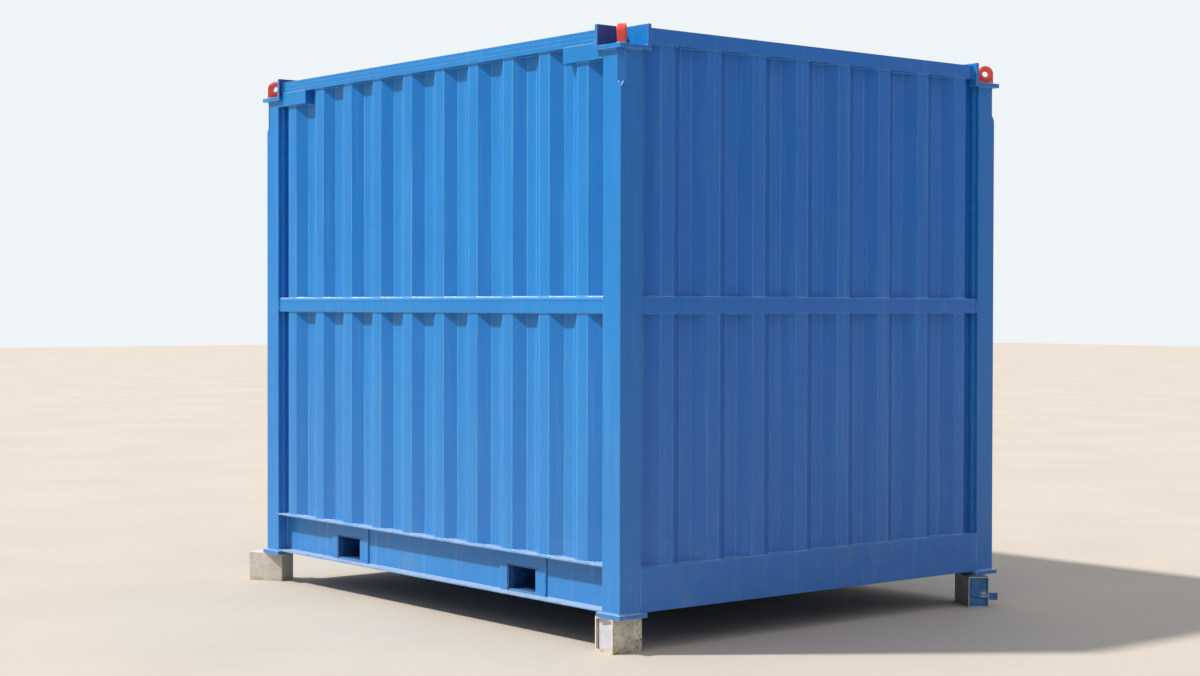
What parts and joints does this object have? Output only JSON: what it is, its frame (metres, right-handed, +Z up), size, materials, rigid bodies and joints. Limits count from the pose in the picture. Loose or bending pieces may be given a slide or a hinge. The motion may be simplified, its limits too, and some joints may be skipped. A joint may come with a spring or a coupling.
{
  "type": "offshore container",
  "caption": "Closed offshore shipping container with corrugated walls, fork pockets, lifting eyes on its corner posts and loose supports under its feet.",
  "frame": {"origin": "on the ground, under the middle of the container", "axes": "+X along the container from the doors to the closed end, +Y across it, +Z up"},
  "size_m": [3.2467, 2.567, 2.701],
  "materials": {
    "blue_paint": "semi-gloss, weathered",
    "red_paint": "semi-gloss",
    "galvanised": "dull zinc",
    "pale_steel": "chipped, rusty at the edges",
    "dark_blue_steel": "chipped",
    "concrete": "rough"
  },
  "bodies": {
    "root": {"base_plates": "blue_paint", "corner_pocket_door_left": "blue_paint", "corner_pocket_door_right": "blue_paint", "corner_pocket_end_left": "blue_paint", "corner_pocket_end_right": "blue_paint", "corner_post_door_left": "blue_paint", "corner_post_door_right": "blue_paint", "corner_post_end_left": "blue_paint", "corner_post_end_right": "blue_paint", "cross_members": "blue_paint", "door_header": "blue_paint", "door_hinges": "blue_paint", "door_leaf_left": "blue_paint", "door_leaf_right": "blue_paint", "door_sill": "blue_paint", "end_bottom_rail": "blue_paint", "end_mid_rail": "blue_paint", "end_top_rail": "blue_paint", "floor_plate": "blue_paint", "fork_pocket_door": "blue_paint", "fork_pocket_end": "blue_paint", "lock_handles": "blue_paint", "lock_keepers": "blue_paint", "lock_rods": "galvanised", "lower_end_panel": "blue_paint", "lower_side_panel_left": "blue_paint", "lower_side_panel_right": "blue_paint", "pad_eye_door_left": "red_paint", "pad_eye_door_right": "red_paint", "pad_eye_end_left": "red_paint", "pad_eye_end_right": "red_paint", "panel_edge_bars": "blue_paint", "rod_guides": "blue_paint", "roof_panel": "blue_paint", "side_bottom_rail_left": "blue_paint", "side_bottom_rail_right": "blue_paint", "side_mid_rail_left": "blue_paint", "side_mid_rail_right": "blue_paint", "side_top_rail_left": "blue_paint", "side_top_rail_right": "blue_paint", "support_door_left": "concrete", "support_door_right": "concrete", "support_end_left": "pale_steel", "support_end_right": "dark_blue_steel", "upper_end_panel": "blue_paint", "upper_side_panel_left": "blue_paint", "upper_side_panel_right": "blue_paint"}
  },
  "joints": []
}
